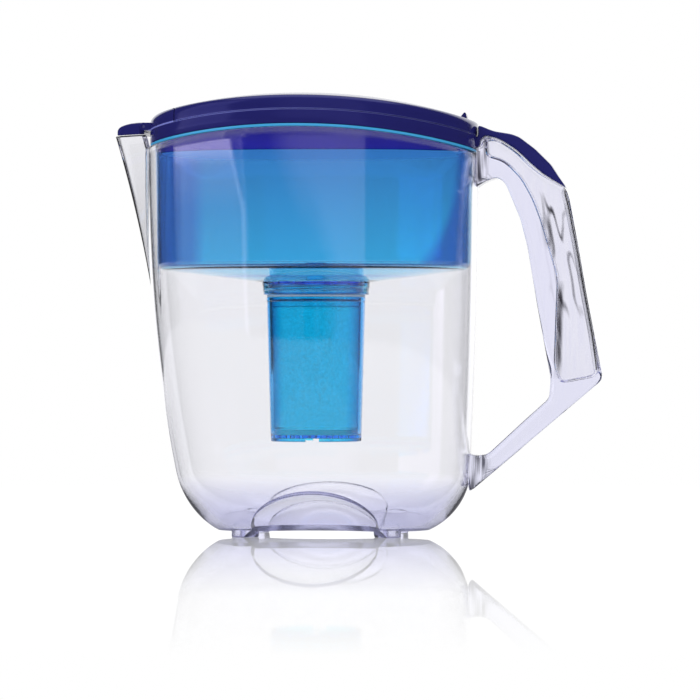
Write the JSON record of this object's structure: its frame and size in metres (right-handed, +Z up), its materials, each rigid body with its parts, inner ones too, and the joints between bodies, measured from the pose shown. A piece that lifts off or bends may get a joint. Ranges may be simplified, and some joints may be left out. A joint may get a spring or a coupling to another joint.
{
  "type": "water filter pitcher",
  "caption": "Clear oval pitcher with a lift-out filter funnel, a threaded cartridge below it, a hinged filler lid and a hinged spout flap.",
  "frame": {"origin": "on the table, under the middle of the whole length and depth", "axes": "+X from the spout to the handle, +Z up, +Y across the jug"},
  "size_m": [0.2916, 0.15, 0.263],
  "materials": {
    "clear_plastic": "clear, polished",
    "navy_plastic": "glossy",
    "pin_plastic": "satin",
    "blue_plastic": "translucent, polished",
    "cyan_plastic": "translucent, polished",
    "seal_rubber": "satin silicone",
    "filter_felt": "fibrous felt",
    "carbon_granules": "granular",
    "resin_beads": "granular"
  },
  "bodies": {
    "jug": {"jug_body": "clear_plastic", "jug_base": "clear_plastic", "handle": "clear_plastic"},
    "funnel": {"funnel": "blue_plastic"},
    "lid": {"lid_frame": "navy_plastic", "flip_lid_pin": "pin_plastic", "spout_flap_pin": "pin_plastic"},
    "flip_lid": {"flip_lid": "navy_plastic"},
    "spout_flap": {"spout_flap": "navy_plastic"},
    "seal": {"cartridge_seal": "seal_rubber"},
    "cartridge": {"cartridge_housing": "cyan_plastic", "cartridge_cap": "cyan_plastic", "inlet_screen": "filter_felt", "carbon_bed": "carbon_granules", "resin_bed": "resin_beads", "outlet_pad": "filter_felt"}
  },
  "joints": [
    {"name": "funnel_lift", "type": "slide", "parent": "jug", "child": "funnel", "axis": [0, 0, 1], "range_m": [0, 0.2]},
    {"name": "lid_lift", "type": "slide", "parent": "funnel", "child": "lid", "axis": [0, 0, 1], "range_m": [0, 0.06]},
    {"name": "flip_lid_hinge", "type": "hinge", "parent": "lid", "child": "flip_lid", "pos_m": [-0.1042, 0, 0.25304], "axis": [0, -1, 0], "range_deg": [0, 85]},
    {"name": "spout_flap_hinge", "type": "hinge", "parent": "lid", "child": "spout_flap", "pos_m": [-0.1266, 0, 0.24333], "axis": [0, 1, 0], "range_deg": [0, 70]},
    {"name": "cartridge_drop", "type": "slide", "parent": "funnel", "child": "seal", "axis": [0, 0, -1], "range_m": [0, 0.0101]},
    {"name": "cartridge_turn", "type": "hinge", "parent": "seal", "child": "cartridge", "pos_m": [-0.0252, 0, 0.143], "axis": [0, 0, -1], "range_deg": [0, 300]}
  ],
  "couplings": [
    {"joint": "cartridge_drop", "follows": "cartridge_turn", "m_per_rad": 0.0019099}
  ]
}
